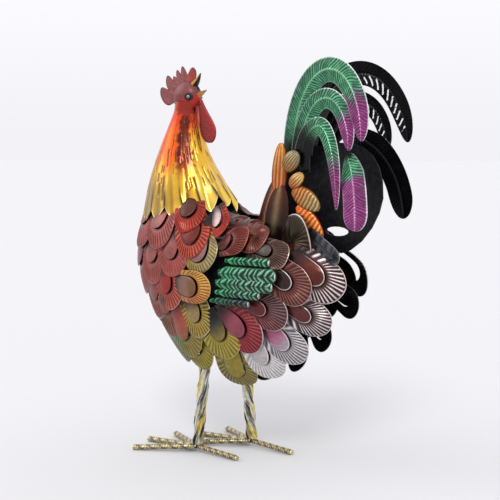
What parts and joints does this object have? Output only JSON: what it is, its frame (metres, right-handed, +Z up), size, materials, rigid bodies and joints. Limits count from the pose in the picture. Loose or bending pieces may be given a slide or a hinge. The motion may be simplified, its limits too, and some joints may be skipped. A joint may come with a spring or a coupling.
{
  "type": "metal rooster statue",
  "caption": "Standing rooster statue of stamped and painted sheet metal, head turned back and crowing, on twisted bar legs with splayed rod toes",
  "frame": {"origin": "centre of the bottom of the bounding box, on the ground under the body", "axes": "+Z up; the breast faces -X, the tail +X; the bird's left side faces -Y"},
  "size_m": [0.3766, 0.1526, 0.4911],
  "materials": {
    "dark_metal": "black paint on sheet metal",
    "neck_lacquer": "see-through orange to yellow lacquer over bright metal",
    "comb_red": "maroon paint, lightly textured",
    "beak_yellow": "yellow lacquer",
    "eye_silver": "bright bead in a black ring",
    "red_feathers": "red lacquer with stamped ridges and pale rims",
    "crimson_feathers": "crimson and brown lacquer with stamped ridges and pale rims",
    "olive_feathers": "olive, silver and dark lacquer with stamped ridges",
    "brown_feathers": "brown lacquer with stamped ridges",
    "gold_feathers": "gold and orange lacquer with stamped ridges",
    "green_feathers": "green lacquer with pale barbs, purple towards the tips",
    "twisted_bar": "worn black and gold paint over bright metal"
  },
  "bodies": {
    "root": {"back_row_left": "brown_feathers", "back_row_right": "brown_feathers", "beak_lower": "beak_yellow", "beak_upper": "beak_yellow", "body_shell": "dark_metal", "breast_row_1_left": "red_feathers", "breast_row_1_right": "red_feathers", "breast_row_2_left": "red_feathers", "breast_row_2_right": "red_feathers", "breast_row_3_left": "red_feathers", "breast_row_3_right": "red_feathers", "breast_row_4_left": "olive_feathers", "breast_row_4_right": "olive_feathers", "comb": "comb_red", "eye_left": "eye_silver", "eye_right": "eye_silver", "head": "comb_red", "leg_left": "twisted_bar", "leg_right": "twisted_bar", "neck_hackle": "neck_lacquer", "sickle_a_left": "green_feathers", "sickle_a_right": "green_feathers", "sickle_b_left": "green_feathers", "sickle_b_right": "green_feathers", "sickle_c_left": "green_feathers", "sickle_c_right": "green_feathers", "sickle_d_left": "green_feathers", "sickle_d_right": "green_feathers", "skirt_inner_left": "crimson_feathers", "skirt_inner_right": "crimson_feathers", "skirt_outer_left": "olive_feathers", "skirt_outer_right": "olive_feathers", "tail_base": "dark_metal", "tail_coverts_left": "gold_feathers", "tail_coverts_right": "gold_feathers", "tail_plate": "dark_metal", "toe_inner_left": "twisted_bar", "toe_inner_right": "twisted_bar", "toe_middle_left": "twisted_bar", "toe_middle_right": "twisted_bar", "toe_outer_left": "twisted_bar", "toe_outer_right": "twisted_bar", "toe_rear_left": "twisted_bar", "toe_rear_right": "twisted_bar", "wattle": "comb_red", "wing_bars_left": "green_feathers", "wing_bars_right": "green_feathers", "wing_coverts_left": "gold_feathers", "wing_coverts_right": "gold_feathers"}
  },
  "joints": []
}
